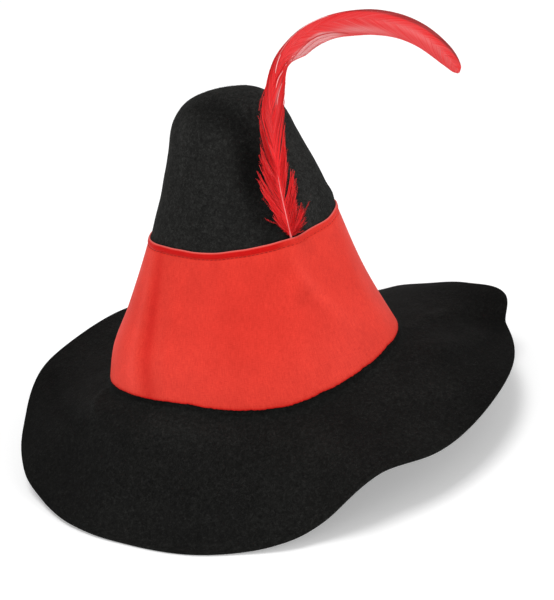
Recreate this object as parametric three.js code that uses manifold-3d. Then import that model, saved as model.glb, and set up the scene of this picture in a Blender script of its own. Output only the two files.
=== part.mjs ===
// Costume hat: a tall felt crown and a wide wavy brim blocked in one piece, a satin band with a hemmed
// top edge, and one cock's tail feather tucked behind the band. Millimetres, +Z up, the rim rests on z = 0.
// -X is the hat's front, +X its back, and the feather stands on the -Y side.
// The shape is worked out about a point on the floor under the middle of the band's lower edge.

import * as THREE from 'three';
import Module from 'manifold-3d';

const manifoldLibrary = await Module();
manifoldLibrary.setup();
const { Manifold, Mesh: ManifoldMesh } = manifoldLibrary;

// Driving sizes

const wall = 2.2;            // felt thickness
const gap = 0.3;             // clearance between pieces that touch
const columns = 76;          // facets round the hat

const crown = {
  foot: 46,                  // height of the band's lower edge over the floor
  leanBack: 6,               // degrees the crown's axis leans to +Y
  egg: 0.1,                  // how much narrower the front half is than the back half
  shoulder: 168,             // the dome starts here
  top: 196,                  // height of the dome over the foot
  domeRise: 16,              // the dome keeps the wall's slope about this far
  domeFlat: 24,              // half length of the nearly flat top
  fillet: 4,                 // length that the bend from crown to brim takes out of each
};

// Crown sections over the foot: half length along X, half width over half length, and shift to +X
const crownSections = [
  { at: -4, half: 102.5, ratio: 0.79, shift: 1.1 },
  { at: 22, half: 93.7, ratio: 0.79, shift: -0.3 },
  { at: 50, half: 81.2, ratio: 0.8, shift: 2.5 },
  { at: 100, half: 62.9, ratio: 0.81, shift: 8.3 },
  { at: 135, half: 51.6, ratio: 0.82, shift: 11 },
  { at: 168, half: 41.2, ratio: 0.84, shift: 10.8 },
  { at: 196, half: 34.7, ratio: 0.84, shift: 8 },
];

// How far the crown's foot and the band's upper edge stand above a flat section, by azimuth
const crownRise = [
  { at: 0, foot: 11.8, top: 7 },
  { at: 45, foot: 7, top: 4 },
  { at: 90, foot: 3.5, top: 3 },
  { at: 180, foot: 7.5, top: 4 },
  { at: 205, foot: 8.7, top: 4.7 },
  { at: 228, foot: 7.8, top: 2.8 },
  { at: 255, foot: 1.5, top: 1.8 },
  { at: 280, foot: -1.4, top: 2.6 },
  { at: 300, foot: 2.3, top: 3 },
  { at: 318, foot: 6.8, top: 4.7 },
  { at: 340, foot: 11.6, top: 5.3 },
];

// Dents in the crown: azimuth, height, size across and along, slant of its length in degrees, and depth
const crownDents = [
  { turn: 287, height: 146, across: 10, along: 27, slant: 0, depth: 3 },
  { turn: 2, height: 106, across: 16, along: 6, slant: 0, depth: -1.5 },
];

const brim = {
  middleX: 6,                // middle of the rim's oval
  middleY: 2,
  halfLength: 174,
  halfWidth: 160,
  fall: 15,                  // how far the brim first falls before its sections turn up or down
};

// The rim by azimuth: height over the floor, where less than nothing is pressed flat, and reach past the oval
const rimSections = [
  { at: 3, height: 33, reach: 0 },
  { at: 12, height: 45, reach: 10 },
  { at: 24, height: 39, reach: 1.5 },
  { at: 38, height: 26.5, reach: -1 },
  { at: 52, height: 14, reach: 0 },
  { at: 64, height: -7, reach: 0 },
  { at: 92, height: -7, reach: 0 },
  { at: 110, height: 22, reach: 0 },
  { at: 130, height: 34.5, reach: 0 },
  { at: 148, height: 34, reach: -0.5 },
  { at: 160, height: 35, reach: -0.5 },
  { at: 175, height: 25.5, reach: 0 },
  { at: 187, height: 15, reach: 4.5 },
  { at: 195, height: 11, reach: 6 },
  { at: 203, height: 4, reach: 4 },
  { at: 211, height: 2, reach: 3.5 },
  { at: 220, height: 0.5, reach: 1.5 },
  { at: 232, height: -12, reach: -1 },
  { at: 248, height: -12, reach: 0 },
  { at: 258, height: 0.5, reach: -0.5 },
  { at: 264, height: 3, reach: 0 },
  { at: 270, height: 7, reach: 0.5 },
  { at: 276, height: 11.5, reach: -0.5 },
  { at: 282, height: 22, reach: 0 },
  { at: 288, height: 34.5, reach: 0.5 },
  { at: 294, height: 38, reach: -0.5 },
  { at: 308, height: 35, reach: 1.5 },
  { at: 332, height: 40.5, reach: 1 },
  { at: 350, height: 35.5, reach: 0.5 },
];

// Folds that run out over the brim: azimuth, half width in degrees, height, and start and end along the brim
const brimFolds = [
  { turn: 196, spread: 9, height: 3, from: 0, to: 0.5 },
  { turn: 207, spread: 8, height: -4, from: 0.3, to: 1 },
  { turn: 345, spread: 8, height: 4, from: 0, to: 0.8 },
  { turn: 6, spread: 6, height: -4, from: 0.5, to: 1 },
];

const band = {
  from: 0.6,                 // lower edge over the crown's foot
  to: 100,                   // upper edge
  thickness: 1,
  hem: 4.6,                  // the row of stitches lies this far under the upper edge
};

// Puckers of the satin: azimuth, half width in degrees, and height off the crown
const bandPuckers = [
  { turn: 222, spread: 5, height: 1.2 },
  { turn: 322, spread: 10, height: 1 },
];

const quill = {
  turn: 303,                 // azimuth at which it is tucked behind the band
  tucked: 24,                // length behind the band
  radius: 1.1,
  clear: 0.55,               // from the felt to the quill
  bulge: 3.3,                // how far the band is pushed out over it
  bulgeSpread: 8,            // half width of that bulge in degrees
  sweep: 5,                  // how far a lock's tip lies ahead of its root
  edge: 0.35,                // half thickness of the vane's edge
};

// The feather's shaft from the band to the tip: place, shaft radius, and vane on its left and right
const featherSections = [
  { x: 37.3, y: -37, z: 167, radius: 1.1, left: 7.5, right: 9, notch: 0.4 },
  { x: 36.4, y: -34, z: 181, radius: 1.05, left: 8, right: 9, notch: 0.4 },
  { x: 36, y: -29, z: 202.7, radius: 1, left: 8, right: 7.5, notch: 0.3 },
  { x: 37, y: -22, z: 224, radius: 0.9, left: 7, right: 9, notch: 0.25 },
  { x: 41, y: -16, z: 247, radius: 0.85, left: 5.5, right: 9, notch: 0.15 },
  { x: 49.7, y: -11, z: 265, radius: 0.8, left: 3.8, right: 5.5, notch: 0.1 },
  { x: 65, y: -9, z: 278.4, radius: 0.75, left: 3.6, right: 12.5, notch: 0.08 },
  { x: 86.8, y: -9, z: 284.5, radius: 0.7, left: 4.4, right: 12, notch: 0.06 },
  { x: 111.5, y: -11, z: 282, radius: 0.65, left: 5.2, right: 11.5, notch: 0.05 },
  { x: 138, y: -13, z: 268.3, radius: 0.6, left: 5.6, right: 9, notch: 0.05 },
  { x: 154.4, y: -15, z: 249.6, radius: 0.5, left: 4, right: 5, notch: 0.05 },
  { x: 159.6, y: -15, z: 238.8, radius: 0.4, left: 0.6, right: 0.6, notch: 0 },
];

// Downy locks at the feather's foot: root along the shaft from the band, side, length, angle, width and lift
const downLocks = [
  { root: 3, side: 1, length: 14, angle: 44, width: 5, lift: 0.5 },
  { root: 5, side: 1, length: 25, angle: 32, width: 7, lift: 0 },
  { root: 8, side: 1, length: 42, angle: 15, width: 7, lift: 1 },
  { root: 24, side: 1, length: 30, angle: 12, width: 5, lift: 0 },
  { root: 3, side: -1, length: 17, angle: 28, width: 6, lift: 0.5 },
  { root: 5, side: -1, length: 34, angle: 17, width: 7, lift: 0 },
  { root: 10, side: -1, length: 38, angle: 13, width: 7, lift: 1 },
  { root: 24, side: -1, length: 29, angle: 22, width: 5, lift: 0 },
  { root: 62, side: -1, length: 26, angle: 17, width: 4, lift: 0 },
];

// Shared arithmetic

const radians = (degrees) => degrees * Math.PI / 180;
const clamp = (value, low, high) => Math.min(Math.max(value, low), high);
const bell = (x) => Math.exp(-x * x);

function smooth(from, to, value) {
  const share = clamp((value - from) / (to - from), 0, 1);
  return share * share * (3 - 2 * share);
}

// Smallest signed difference between two azimuths in degrees.
function turnBetween(a, b) {
  return ((a - b + 540) % 360 + 360) % 360 - 180;
}

// A table's column at a place, by a curve that never overshoots its rows. With a period it runs round.
function tableAt(rows, column, place, period = 0) {
  const count = rows.length;
  const at = (i) => (period ? rows[(i + count) % count].at + period * Math.floor(i / count) : rows[i].at);
  const value = (i) => rows[(i + count) % count][column];
  const rise = (i) => (value(i + 1) - value(i)) / (at(i + 1) - at(i));
  const slope = (i) => {
    if (!period && (i === 0 || i === count - 1)) return rise(Math.min(i, count - 2));
    const before = rise(i - 1);
    const after = rise(i);
    if (before * after <= 0) return 0;
    const near = at(i) - at(i - 1);
    const far = at(i + 1) - at(i);
    return 3 * (near + far) / ((2 * far + near) / before + (far + 2 * near) / after);
  };
  let x = period ? ((place % period) + period) % period : clamp(place, at(0), at(count - 1));
  if (period && x < at(0)) x += period;
  let i = 0;
  while (i < (period ? count - 1 : count - 2) && x > at(i + 1)) i += 1;
  const step = at(i + 1) - at(i);
  const s = (x - at(i)) / step;
  return value(i) * (1 + 2 * s) * (1 - s) ** 2 + value(i + 1) * s * s * (3 - 2 * s)
    + step * (slope(i) * s * (1 - s) ** 2 - slope(i + 1) * s * s * (1 - s));
}

// Distance from the middle of an ellipse to its edge.
function ovalReach(halfLength, halfWidth, turn) {
  return 1 / Math.hypot(Math.cos(radians(turn)) / halfLength, Math.sin(radians(turn)) / halfWidth);
}

// The felt's outer face

// Crown frame to hat frame: the lean, the rise of the section, and the height over the floor.
function crownToHat(x, y, height, turn) {
  const lean = radians(crown.leanBack);
  const share = clamp(height / band.to, 0, 1);
  const rise = THREE.MathUtils.lerp(
    tableAt(crownRise, 'foot', turn, 360),
    tableAt(crownRise, 'top', turn, 360) * (1 - smooth(band.to, crown.shoulder, height)),
    share,
  );
  return new THREE.Vector3(
    x,
    y * Math.cos(lean) + height * Math.sin(lean),
    crown.foot - y * Math.sin(lean) + height * Math.cos(lean) + rise,
  );
}

function dentAt(turn, height, reach) {
  let depth = 0;
  for (const dent of crownDents) {
    const round = radians(turnBetween(turn, dent.turn)) * reach;
    const up = height - dent.height;
    const slant = radians(dent.slant);
    const across = round * Math.cos(slant) + up * Math.sin(slant);
    const along = up * Math.cos(slant) - round * Math.sin(slant);
    depth += dent.depth * bell(across / dent.across) * bell(along / dent.along);
  }
  return depth;
}

// The crown at a height over its foot, where share shrinks the section towards the dome's middle.
function crownPoint(turn, height, share = 1) {
  const half = tableAt(crownSections, 'half', height);
  const ratio = tableAt(crownSections, 'ratio', height);
  const shift = tableAt(crownSections, 'shift', height);
  const front = ((1 - Math.cos(radians(turn))) / 2) ** 2;
  const reach = (ovalReach(half, half * ratio * (1 - crown.egg * front), turn) - dentAt(turn, height, half)) * share;
  return crownToHat(shift + reach * Math.cos(radians(turn)), reach * Math.sin(radians(turn)), height, turn);
}

// The dome, from the shoulder at 0 to the middle of the top at 1.
function domePoint(turn, share) {
  const half = tableAt(crownSections, 'half', crown.shoulder);
  const slope = (tableAt(crownSections, 'half', crown.shoulder - 10) - half) / 10;
  const reaches = [half, half - slope * crown.domeRise, crown.domeFlat, 0];
  const heights = [crown.shoulder, crown.shoulder + crown.domeRise, crown.top, crown.top];
  const weights = [(1 - share) ** 3, 3 * share * (1 - share) ** 2, 3 * share * share * (1 - share), share ** 3];
  const mix = (list) => list.reduce((sum, value, i) => sum + value * weights[i], 0);
  const height = mix(heights);
  return crownPoint(turn, height, mix(reaches) / tableAt(crownSections, 'half', height));
}

// The brim, from the crown at 0 to the rim at 1.
function brimPoint(turn, share) {
  const root = crownPoint(turn, -crown.fillet);
  const reach = ovalReach(brim.halfLength, brim.halfWidth, turn) + tableAt(rimSections, 'reach', turn, 360);
  const rimX = brim.middleX + reach * Math.cos(radians(turn));
  const rimY = brim.middleY + reach * Math.sin(radians(turn));
  const rimZ = tableAt(rimSections, 'height', turn, 360) + wall;
  let z = root.z - brim.fall * share + (rimZ - root.z + brim.fall) * share * share;
  for (const fold of brimFolds) {
    const middle = (fold.from + fold.to) / 2;
    const half = (fold.to - fold.from) / 2;
    z += fold.height * bell(turnBetween(turn, fold.turn) / fold.spread) * (1 - smooth(0, 1, Math.abs(share - middle) / half));
  }
  return new THREE.Vector3(
    THREE.MathUtils.lerp(root.x, rimX, share),
    THREE.MathUtils.lerp(root.y, rimY, share),
    Math.max(z, wall),
  );
}

// The whole outer face by level: 0 to 1 the dome, 1 to 2 the wall, 2 to 3 the bend, 3 to 4 the brim.
function feltPoint(turn, level) {
  if (level <= 1) return domePoint(turn, 1 - level);
  if (level <= 2) return crownPoint(turn, crown.shoulder * (2 - level));
  const root = crownPoint(turn, -crown.fillet);
  const start = crown.fillet / brimPoint(turn, 1).distanceTo(root);
  if (level <= 3) {
    const s = level - 2;
    return crownPoint(turn, 0).multiplyScalar((1 - s) ** 2)
      .addScaledVector(root, 2 * s * (1 - s))
      .addScaledVector(brimPoint(turn, start), s * s);
  }
  return brimPoint(turn, start + (1 - start) * (level - 3));
}

// Outward direction of the felt's outer face.
function feltNormal(turn, level) {
  if (level <= 0) return crownToHat(0, 0, 1, 0).sub(crownToHat(0, 0, 0, 0)).normalize();
  const step = 0.01;
  const down = feltPoint(turn, Math.min(level + step, 4)).sub(feltPoint(turn, level - step));
  const round = feltPoint(turn + 0.5, level).sub(feltPoint(turn - 0.5, level));
  return down.cross(round).normalize();
}

function feltInner(turn, level) {
  const point = feltPoint(turn, level).addScaledVector(feltNormal(turn, level), -wall);
  point.z = Math.max(point.z, 0);
  return point;
}

// Solids from rows of points

function solidGeometry(points, triangles) {
  const geometry = new THREE.BufferGeometry();
  geometry.setAttribute('position', new THREE.Float32BufferAttribute(points.flatMap((p) => [p.x, p.y, p.z]), 3));
  geometry.setIndex(triangles);
  geometry.computeVertexNormals();
  return geometry;
}

// Joins rows of equal length round and round; the ends are closed by a point each, or the last row meets the first.
function skin(rows, { first = null, last = null } = {}) {
  const points = rows.flat();
  const triangles = [];
  const width = rows[0].length;
  const joins = first ? rows.length - 1 : rows.length;
  for (let r = 0; r < joins; r += 1) {
    for (let c = 0; c < width; c += 1) {
      const a = r * width + c;
      const b = r * width + (c + 1) % width;
      const d = ((r + 1) % rows.length) * width + c;
      const e = ((r + 1) % rows.length) * width + (c + 1) % width;
      triangles.push(a, d, b, b, d, e);
    }
  }
  if (first) {
    const top = points.push(first) - 1;
    const end = points.push(last) - 1;
    const lastRow = (rows.length - 1) * width;
    for (let c = 0; c < width; c += 1) {
      triangles.push(top, c, (c + 1) % width, end, lastRow + (c + 1) % width, lastRow + c);
    }
  }
  return solidGeometry(points, triangles);
}

const turns = Array.from({ length: columns }, (_, i) => 360 * i / columns);
const wallLevel = (height) => 2 - height / crown.shoulder;

// The felt and the band share these rows of facets, so that they never cut into each other.
const underBand = [12, 24, 37, 50, 68, 84, 95, 100];

function makeFelt() {
  const openWall = [154, 140, 126, 112];
  const wallLevels = [...openWall, ...underBand.toReversed(), 0].map(wallLevel);
  const brimLevels = [3, 3.12, 3.3, 3.48, 3.66, 3.82, 3.92, 4];
  const outerLevels = [0.3, 0.55, 0.75, 0.9, 1, ...wallLevels, 2.35, 2.7, ...brimLevels];
  const innerLevels = [0.4, 0.75, 1, ...[144, 120, 95, 68, 37, 0].map(wallLevel), 2.5, ...brimLevels];
  const outer = outerLevels.map((level) => turns.map((turn) => feltPoint(turn, level)));
  const inner = innerLevels.map((level) => turns.map((turn) => feltInner(turn, level)));
  return skin([...outer, ...inner.reverse()], { first: feltPoint(0, 0), last: feltInner(0, 0) });
}

// The satin band

// The band's face at a height over the crown's foot, lifted off the felt and over the quill and puckers.
function bandPoint(turn, height, lift) {
  const level = wallLevel(height);
  let raised = gap + lift;
  for (const pucker of bandPuckers) {
    raised += pucker.height * bell(turnBetween(turn, pucker.turn) / pucker.spread) * Math.sin(Math.PI * height / band.to);
  }
  const end = band.to - quill.tucked;
  raised += quill.bulge * bell(turnBetween(turn, quill.turn) / quill.bulgeSpread) * smooth(end - 22, end - 6, height);
  return feltPoint(turn, level).addScaledVector(feltNormal(turn, level), raised);
}

function makeBand() {
  const { from, to, thickness, hem } = band;
  const section = [
    { height: from, lift: thickness },
    { height: 24, lift: thickness },
    { height: 50, lift: thickness },
    { height: 74, lift: thickness },
    { height: to - hem - 1.2, lift: thickness },
    { height: to - hem, lift: 0.5 * thickness },
    { height: to - hem + 1.2, lift: 1.2 * thickness },
    { height: to - 0.6, lift: 1.2 * thickness },
    { height: to, lift: 0.6 * thickness },
    ...underBand.toReversed().map((height) => ({ height, lift: 0 })),
    { height: from, lift: 0 },
  ];
  return skin(section.map(({ height, lift }) => turns.map((turn) => bandPoint(turn, height, lift))).reverse());
}

// The feather

function featherRows() {
  const seat = [-quill.tucked, -quill.tucked / 2, 0].map((along) => {
    const level = wallLevel(band.to + along);
    const place = feltPoint(quill.turn, level).addScaledVector(feltNormal(quill.turn, level), quill.clear + quill.radius);
    return { place, radius: quill.radius, left: 0, right: 0, notch: 0 };
  });
  return [...seat, ...featherSections.map((row) => ({ ...row, place: new THREE.Vector3(row.x, row.y, row.z) }))];
}

// The shaft at a share of its length: its middle, the directions ahead, to the vane's side and out of its face.
function shaftFrame(path, share) {
  const middle = path.getPoint(share);
  const ahead = path.getTangent(share);
  const side = ahead.clone().cross(new THREE.Vector3(0, -1, 0)).normalize();
  const face = side.clone().cross(ahead).normalize();
  return { middle, ahead, side, face };
}

// The shaft and its two vanes, with the edge notched into locks whose tips point to the feather's tip.
function makeVane(path, rows) {
  const at = (column, share) => {
    const place = share * (rows.length - 1);
    const i = Math.min(Math.floor(place), rows.length - 2);
    return THREE.MathUtils.lerp(rows[i][column], rows[i + 1][column], place - i);
  };
  const stations = 60;
  const loops = [];
  for (let i = 0; i <= stations; i += 1) {
    const share = i / stations;
    const { middle, ahead, side, face } = shaftFrame(path, share);
    const radius = at('radius', share);
    const full = i % 2 ? 1 : 1 - at('notch', share);
    const edge = (sign, width) => [1, -1].map((front) => middle.clone()
      .addScaledVector(side, sign * Math.max(width * full, radius))
      .addScaledVector(ahead, quill.sweep * full * Math.min(1, width / 8) * (1 - share ** 6))
      .addScaledVector(face, front * Math.min(quill.edge, radius)));
    const left = edge(-1, at('left', share));
    const right = edge(1, at('right', share));
    const crest = middle.clone().addScaledVector(face, radius);
    const back = middle.clone().addScaledVector(face, -radius);
    loops.push([left[1], back, right[1], right[0], crest, left[0]]);
  }
  return closedLoft(loops);
}

// A downy lock: a flat blade that leaves the shaft at an angle and narrows to its tip.
function makeLock(path, lock) {
  const { middle, ahead, side, face } = shaftFrame(path, path.shareAt(lock.root));
  const angle = radians(lock.angle);
  const along = ahead.clone().multiplyScalar(Math.cos(angle)).addScaledVector(side, lock.side * Math.sin(angle));
  const across = face.clone().cross(along).normalize();
  const loops = [0, 0.35, 0.75, 1].map((share) => {
    const half = lock.width / 2 * [0.5, 1, 0.7, 0.15][Math.round(share * 3)];
    const centre = middle.clone().addScaledVector(along, lock.length * share).addScaledVector(face, lock.lift * share);
    return [[-1, 1], [1, 1], [1, -1], [-1, -1]].map(([a, b]) => centre.clone()
      .addScaledVector(across, a * half)
      .addScaledVector(face, b * quill.edge));
  });
  return closedLoft(loops);
}

function closedLoft(loops) {
  const centre = (loop) => loop.reduce((sum, p) => sum.add(p), new THREE.Vector3()).divideScalar(loop.length);
  return skin(loops, { first: centre(loops[0]), last: centre(loops[loops.length - 1]) });
}

function toManifold(geometry) {
  return new Manifold(new ManifoldMesh({
    numProp: 3,
    vertProperties: new Float32Array(geometry.attributes.position.array),
    triVerts: new Uint32Array(geometry.index.array),
  }));
}

function makeFeather() {
  const rows = featherRows();
  const path = new THREE.CatmullRomCurve3(rows.map((row) => row.place), false, 'centripetal');
  // Share of the curve at a length from the band.
  path.shareAt = (length) => path.getUtoTmapping(0, length + quill.tucked);
  const solids = [makeVane(path, rows), ...downLocks.map((lock) => makeLock(path, lock))].map(toManifold);
  const fused = Manifold.union(solids).getMesh();
  const points = [];
  for (let i = 0; i < fused.vertProperties.length; i += fused.numProp) {
    points.push(new THREE.Vector3(...fused.vertProperties.slice(i, i + 3)));
  }
  return solidGeometry(points, Array.from(fused.triVerts));
}

// The hat

function piece(name, geometry, colour, roughness) {
  const mesh = new THREE.Mesh(geometry, new THREE.MeshStandardMaterial({ color: colour, roughness, metalness: 0 }));
  mesh.name = name;
  return mesh;
}

const hat = new THREE.Group();
hat.add(piece('felt_body', makeFelt(), 0x1f1f1e, 0.95));
hat.add(piece('band', makeBand(), 0xe04038, 0.45));
hat.add(piece('feather', makeFeather(), 0xe3202a, 0.6));

// The part's origin is the middle of its footprint on the floor.
const box = new THREE.Box3().setFromObject(hat);
hat.position.set(-(box.min.x + box.max.x) / 2, -(box.min.y + box.max.y) / 2, -box.min.z);

const part = new THREE.Group();
part.add(hat);

export default part;
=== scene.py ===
# Costume hat: black felt crown and brim, a red satin band with a stitched hem, and a curved red feather.
# Shapes are worked out in millimetres in the hat's own frame, as in the part's source, and moved into the
# frame's metres when their meshes are made. -X is the hat's front, and the feather stands on the -Y side.

import math
from types import SimpleNamespace as Named

import bpy
import numpy as np
from mathutils import Matrix, Vector, noise


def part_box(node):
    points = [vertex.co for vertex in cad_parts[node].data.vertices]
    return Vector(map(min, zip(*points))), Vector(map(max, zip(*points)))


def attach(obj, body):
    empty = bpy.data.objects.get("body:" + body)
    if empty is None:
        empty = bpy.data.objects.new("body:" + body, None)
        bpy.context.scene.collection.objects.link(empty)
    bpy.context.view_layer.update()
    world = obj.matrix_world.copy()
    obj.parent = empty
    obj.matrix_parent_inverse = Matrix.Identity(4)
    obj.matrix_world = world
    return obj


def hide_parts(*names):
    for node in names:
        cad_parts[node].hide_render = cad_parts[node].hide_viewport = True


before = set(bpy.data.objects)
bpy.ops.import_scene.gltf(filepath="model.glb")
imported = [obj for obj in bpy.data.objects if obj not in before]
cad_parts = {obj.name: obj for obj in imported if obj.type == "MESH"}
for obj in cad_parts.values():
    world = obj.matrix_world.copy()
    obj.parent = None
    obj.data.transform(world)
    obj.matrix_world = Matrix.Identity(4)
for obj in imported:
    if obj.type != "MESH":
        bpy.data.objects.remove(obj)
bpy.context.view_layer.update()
rng = np.random.default_rng(7)

MM = 0.001


def table(columns, *rows):
    """A table's rows, each with its values under the names of the columns."""
    return [Named(**dict(zip(columns.split(), row))) for row in rows]


# Sizes of the hat, as in the part's source but for the rim's heights, which follow the photo a little closer

WALL = 2.2
GAP = 0.3
FLOOR_BEND = 0.8
CAD_COLUMNS = 76

CROWN = Named(foot=46, lean_back=6, egg=0.1, shoulder=168, top=196, dome_rise=16, dome_flat=24, fillet=4)

# How much higher the dome's back stands, and between which distances along the hat it rises
DOME_LIFT = Named(height=2.5, start=2, full=40)

CROWN_SECTIONS = table(
    "at half ratio shift",
    (-4, 102.5, 0.79, 1.1),
    (22, 93.7, 0.79, -0.3),
    (50, 81.2, 0.8, 2.5),
    (100, 62.9, 0.81, 8.3),
    (135, 51.6, 0.82, 11),
    (168, 41.2, 0.84, 10.8),
    (196, 34.7, 0.84, 8),
)

CROWN_RISE = table(
    "at foot top",
    (0, 11.8, 7),
    (45, 7, 4),
    (90, 3.5, 3),
    (180, 7.5, 4),
    (205, 8.7, 4.7),
    (228, 7.8, 2.8),
    (255, 1.5, 1.8),
    (280, -1.4, 2.6),
    (300, 2.3, 3),
    (318, 6.8, 4.7),
    (340, 11.6, 5.3),
)

CROWN_DENTS = table(
    "turn height across along depth",
    (287, 146, 10, 27, 3),
    (2, 106, 16, 6, -1.5),
)

BRIM = Named(middle_x=6, middle_y=2, half_length=174, half_width=160, fall=15)

RIM_SECTIONS = table(
    "at height reach",
    (3, 33, 0),
    (12, 45, 10),
    (24, 39, 1.5),
    (38, 26.5, -1),
    (52, 14, 0),
    (64, -7, 0),
    (92, -7, 0),
    (110, 22, 0),
    (130, 34.5, 0),
    (148, 34, -0.5),
    (160, 35, -0.5),
    (175, 25.5, 0),
    (187, 15, 4.5),
    (195, 10, 6),
    (203, 2.3, 4),
    (211, 0.4, 3.5),
    (220, -1.4, 1.5),
    (232, -12, -1),
    (248, -12, 0),
    (258, -1.6, -0.5),
    (264, 1.4, 0),
    (270, 5.5, 0.5),
    (276, 9.3, -0.5),
    (282, 21.8, 0),
    (288, 35.5, 0.5),
    (294, 38.8, -0.5),
    (308, 33.8, 1.5),
    (332, 39.5, 1),
    (350, 35.5, 0.5),
)

BRIM_FOLDS = table(
    "turn spread height start end",
    (196, 9, 3, 0, 0.5),
    (207, 8, -4, 0.3, 1),
    (345, 8, 4, 0, 0.8),
    (6, 6, -4, 0.5, 1),
)

BAND = Named(low=0.6, high=100, hem=4.6)

BAND_PUCKERS = table(
    "turn spread height",
    (222, 5, 1.2),
    (322, 10, 1),
)

# The quill behind the band, and the bulge that it makes there: how high, how far round in degrees, and where
# it rises over the quill's end
QUILL = Named(turn=303, tucked=24, radius=1.1, clear=0.55, bulge=2.4, spread=8, bulge_rise=(-22, -6))

# The feather's shaft from the band to the tip
FEATHER_SHAFT = table(
    "x y z radius",
    (37.3, -37, 167, 1.1),
    (36.4, -34, 181, 1.05),
    (36, -29, 202.7, 1),
    (37, -22, 224, 0.9),
    (41, -16, 247, 0.8),
    (49.7, -11, 265, 0.7),
    (65, -9, 278.4, 0.6),
    (86.8, -9, 284.5, 0.5),
    (111.5, -11, 282, 0.4),
    (138, -13, 268.3, 0.3),
    (154.4, -15, 249.6, 0.2),
    (159.6, -15, 238.8, 0.12),
)

# The vane's edge by length from the band: how far it stands off the shaft on the left and on the right
VANE_EDGE = table(
    "at left right",
    (0, 5, 6.5),
    (30, 8.8, 7),
    (48, 7.6, 7),
    (68, 6.4, 7.2),
    (83, 8, 8.2),
    (93, 4.9, 8.2),
    (104, 4.6, 7.1),
    (116, 4.6, 5.6),
    (132, 4, 11.9),
    (158, 4.2, 12.3),
    (170, 4.6, 12.8),
    (188, 5.8, 11.1),
    (204, 6.4, 9.1),
    (220, 6, 8.1),
    (236, 5.5, 6.6),
    (244, 4.5, 5.1),
    (250, 3.2, 2.9),
    (252.8, 0.5, 0.5),
)

# Barbs by where they leave the shaft: where the left and right ones' tips lie along it, their pitch, the
# length of a lock, how far its barbs gather to one tip (0 to 1), how frayed they are and how they bow out
BARBS = table(
    "at tip_left tip_right pitch lock gather fray bow",
    (0, 20, 16, 0.22, 8, 0.75, 1.3, 1.2),
    (24, 53, 50, 0.23, 8, 0.8, 1.2, 1.25),
    (44, 84, 86, 0.25, 7, 0.45, 1, 1.5),
    (60, 103, 106, 0.3, 8, 0.22, 0.5, 1.5),
    (80, 122, 126, 0.38, 8, 0.08, 0.15, 1.7),
    (100, 140, 144, 0.48, 10, 0.1, 0.25, 1.8),
    (120, 156, 162, 0.55, 13, 0.06, 0.1, 1.8),
    (160, 194, 200, 0.55, 14, 0.03, 0.1, 1.8),
    (200, 228, 230, 0.5, 14, 0.03, 0.08, 1.8),
    (225, 243.5, 244.5, 0.42, 12, 0.02, 0.08, 1.8),
    (240, 249.6, 250, 0.34, 8, 0, 0.05, 1.7),
    (250, 252.8, 252.8, 0.28, 6, 0, 0.05, 1.6),
)

# Neighbouring barbs that hold together as one spike of a lock
TUFT = 5

# The locks at the foot: side (-1 left, 1 right), where they leave the shaft, and their tips along and off it
FOOT_LOCKS = table(
    "side start end tip reach",
    (-1, 0.5, 7, 16, 7.6),
    (-1, 2, 15, 34, 10),
    (-1, 7, 20, 44.5, 12.4),
    (-1, 18, 30, 50, 9.4),
    (-1, 28, 40, 57, 9.6),
    (-1, 38, 48, 74, 6.8),
    (1, 0.5, 3, 9, 9),
    (1, 0.5, 4, 15, 11.4),
    (1, 0.5, 5, 21.5, 13),
    (1, 0.5, 8, 23, 8.2),
    (1, 8, 18, 35.5, 9.6),
    (1, 14, 25, 42, 11),
    (1, 24, 34, 52, 7),
    (1, 31, 45, 60, 7.4),
)

# Where the vane has come apart: between which barbs, by where they leave the shaft, and how far they part
SPLITS = table(
    "side root part",
    (-1, 18, 0.15),
    (-1, 47, 0.45),
    (-1, 56, 0.3),
    (1, 36, 0.4),
    (1, 47.5, 0.5),
    (1, 70, 0.25),
)

# Single loose barbs at the foot, drawn as the locks are
WISPS = table(
    "side start tip reach",
    (-1, 9, 19, 14),
    (-1, 12, 32, 12.5),
    (-1, 16, 38, 13),
    (-1, 20, 44.5, 13.8),
    (-1, 24, 49.5, 13),
    (-1, 60, 86.5, 9),
    (-1, 64, 92, 7.4),
    (1, 4, 22, 15),
    (1, 5, 24, 17.5),
    (1, 6, 25, 14.5),
    (1, 16, 40, 13),
    (1, 2, 12, 12),
)

# Painted highlights, pale glints on the vane: middle along and off the shaft (right is positive),
# half-lengths and strength
PAINTED_GLINTS = table(
    "at off along across strength",
    (178, 8, 22, 2.4, 0.4),
    (95, 3.5, 7, 1.1, 0.3),
    (215, 1, 30, 2, 0.2),
)

# Single barbs that stand over the vane by its bend, most painted pale as highlights: their line by length
# and offset
LIT_BARBS = table(
    "line half pale",
    ([(108, -0.6), (111.8, -1.2), (115.8, -1.8), (121, -2.4)], 0.3, 0.95),
    ([(116, -2.6), (125, -3.3), (134, -3.5), (141, -3.8)], 0.2, 0.5),
    ([(138, -3.7), (144, -4.0), (151, -4.1), (158, -3.9)], 0.26, 0.95),
    ([(99, 1.8), (104, 1.9), (107.5, 2.4), (112, 3.9)], 0.28, 0.9),
    ([(88, 3.6), (94, 3.9), (99, 4.4), (104, 5.2)], 0.28, 0.6),
    ([(84, -8.2), (92, -6.4), (100, -4.4), (110, -3.6)], 0.22, 0.0),
    ([(119, 6.0), (133, 6.2), (148, 5.6), (160, 8.4), (170, 11)], 0.28, 0.0),
    ([(120, 7.6), (132, 9), (146, 8), (158, 9.6)], 0.2, 0.3),
)

# The pale underside that the inner vane shows where the feather bends over: where it starts off the shaft
FLAP = table(
    "at start",
    (112, 6),
    (133, 5.8),
    (148.5, 5),
    (167.5, 11),
    (175, 13),
)


# Shared arithmetic

def smooth(low, high, value):
    """A soft rise from 0 at low to 1 at high; low may be the larger one."""
    share = np.clip((value - low) / (high - low), 0, 1)
    return share * share * (3 - 2 * share)


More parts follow.
